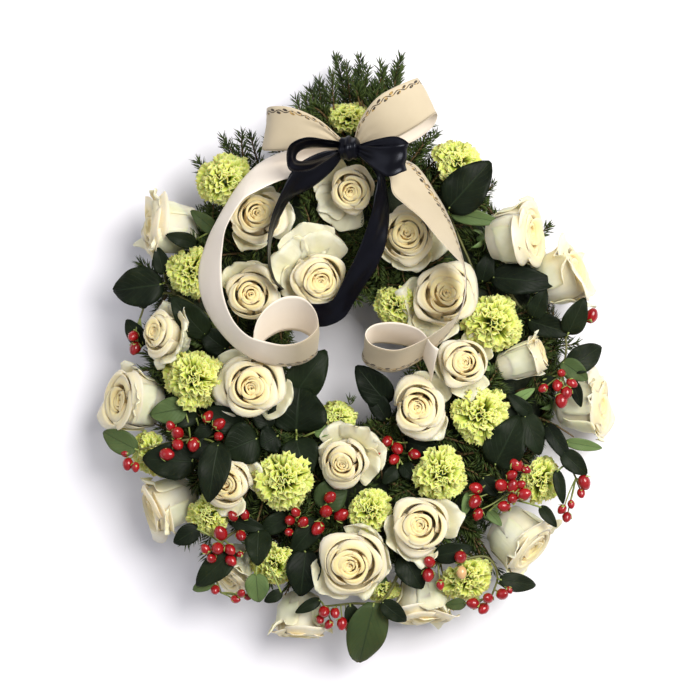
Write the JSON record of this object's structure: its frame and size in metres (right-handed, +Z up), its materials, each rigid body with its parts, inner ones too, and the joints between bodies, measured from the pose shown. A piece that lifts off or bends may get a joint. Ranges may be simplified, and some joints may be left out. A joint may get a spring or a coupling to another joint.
{
  "type": "funeral wreath",
  "caption": "Round funeral wreath of fir, roses, carnations and berried leaves, with a cream and black bow, lying flat.",
  "frame": {"origin": "middle of the bounding box, on the surface that the wreath lies on", "axes": "+Z up, +Y toward the bow at the top of the wreath, +X to the right seen from above"},
  "size_m": [0.509, 0.6188, 0.187],
  "materials": {
    "black_ribbon": "black satin ribbon",
    "carnation_01": "pale green carnation petals on a green calyx and stem",
    "carnation_02": "pale green carnation petals on a green calyx and stem",
    "carnation_03": "pale green carnation petals on a green calyx and stem",
    "carnation_04": "pale green carnation petals on a green calyx and stem",
    "carnation_05": "pale green carnation petals on a green calyx and stem",
    "carnation_06": "pale green carnation petals on a green calyx and stem",
    "carnation_07": "pale green carnation petals on a green calyx and stem",
    "carnation_08": "pale green carnation petals on a green calyx and stem",
    "carnation_09": "pale green carnation petals on a green calyx and stem",
    "carnation_10": "pale green carnation petals on a green calyx and stem",
    "carnation_11": "pale green carnation petals on a green calyx and stem",
    "carnation_12": "pale green carnation petals on a green calyx and stem",
    "carnation_13": "pale green carnation petals on a green calyx and stem",
    "carnation_14": "pale green carnation petals on a green calyx and stem",
    "carnation_15": "pale green carnation petals on a green calyx and stem",
    "carnation_16": "pale green carnation petals on a green calyx and stem",
    "carnation_17": "pale green carnation petals on a green calyx and stem",
    "carnation_18": "pale green carnation petals on a green calyx and stem",
    "cream_ribbon": "matte cream cloth ribbon with a thin vine border",
    "fir_1": "fir needles and twigs",
    "fir_2": "fir needles and twigs",
    "fir_3": "fir needles and twigs",
    "fir_4": "fir needles and twigs",
    "fir_5": "fir needles and twigs",
    "fir_6": "fir needles and twigs",
    "hypericum_bottom": "dark green leaves and red berries",
    "hypericum_bottom_left": "dark green leaves and red berries",
    "hypericum_inner_left": "dark green leaves and red berries",
    "hypericum_inner_right": "dark green leaves and red berries",
    "hypericum_left": "dark green leaves and red berries",
    "hypericum_lower_left": "dark green leaves and red berries",
    "hypericum_right": "dark green leaves and red berries",
    "hypericum_upper_right": "dark green leaves and red berries",
    "rose_01": "cream rose petals on a green calyx and stem",
    "rose_02": "cream rose petals on a green calyx and stem",
    "rose_03": "cream rose petals on a green calyx and stem",
    "rose_04": "cream rose petals on a green calyx and stem",
    "rose_05": "cream rose petals on a green calyx and stem",
    "rose_06": "cream rose petals on a green calyx and stem",
    "rose_07": "cream rose petals on a green calyx and stem",
    "rose_08": "cream rose petals on a green calyx and stem",
    "rose_09": "cream rose petals on a green calyx and stem",
    "rose_10": "cream rose petals on a green calyx and stem",
    "rose_11": "cream rose petals on a green calyx and stem",
    "rose_12": "cream rose petals on a green calyx and stem",
    "rose_13": "cream rose petals on a green calyx and stem",
    "rose_14": "cream rose petals on a green calyx and stem",
    "rose_15": "cream rose petals on a green calyx and stem",
    "rose_16": "cream rose petals on a green calyx and stem",
    "rose_17": "cream rose petals on a green calyx and stem",
    "rose_18": "cream rose petals on a green calyx and stem",
    "rose_19": "cream rose petals on a green calyx and stem",
    "rose_20": "cream rose petals on a green calyx and stem",
    "rose_21": "cream rose petals on a green calyx and stem",
    "rose_22": "cream rose petals on a green calyx and stem",
    "rose_23": "cream rose petals on a green calyx and stem",
    "rose_24": "cream rose petals on a green calyx and stem",
    "rose_25": "cream rose petals on a green calyx and stem",
    "straw_ring": "bound straw"
  },
  "bodies": {
    "root": {"black_ribbon": "black_ribbon", "carnation_01": "carnation_01", "carnation_02": "carnation_02", "carnation_03": "carnation_03", "carnation_04": "carnation_04", "carnation_05": "carnation_05", "carnation_06": "carnation_06", "carnation_07": "carnation_07", "carnation_08": "carnation_08", "carnation_09": "carnation_09", "carnation_10": "carnation_10", "carnation_11": "carnation_11", "carnation_12": "carnation_12", "carnation_13": "carnation_13", "carnation_14": "carnation_14", "carnation_15": "carnation_15", "carnation_16": "carnation_16", "carnation_17": "carnation_17", "carnation_18": "carnation_18", "cream_ribbon": "cream_ribbon", "fir_1": "fir_1", "fir_2": "fir_2", "fir_3": "fir_3", "fir_4": "fir_4", "fir_5": "fir_5", "fir_6": "fir_6", "hypericum_bottom": "hypericum_bottom", "hypericum_bottom_left": "hypericum_bottom_left", "hypericum_inner_left": "hypericum_inner_left", "hypericum_inner_right": "hypericum_inner_right", "hypericum_left": "hypericum_left", "hypericum_lower_left": "hypericum_lower_left", "hypericum_right": "hypericum_right", "hypericum_upper_right": "hypericum_upper_right", "rose_01": "rose_01", "rose_02": "rose_02", "rose_03": "rose_03", "rose_04": "rose_04", "rose_05": "rose_05", "rose_06": "rose_06", "rose_07": "rose_07", "rose_08": "rose_08", "rose_09": "rose_09", "rose_10": "rose_10", "rose_11": "rose_11", "rose_12": "rose_12", "rose_13": "rose_13", "rose_14": "rose_14", "rose_15": "rose_15", "rose_16": "rose_16", "rose_17": "rose_17", "rose_18": "rose_18", "rose_19": "rose_19", "rose_20": "rose_20", "rose_21": "rose_21", "rose_22": "rose_22", "rose_23": "rose_23", "rose_24": "rose_24", "rose_25": "rose_25", "straw_ring": "straw_ring"}
  },
  "joints": []
}
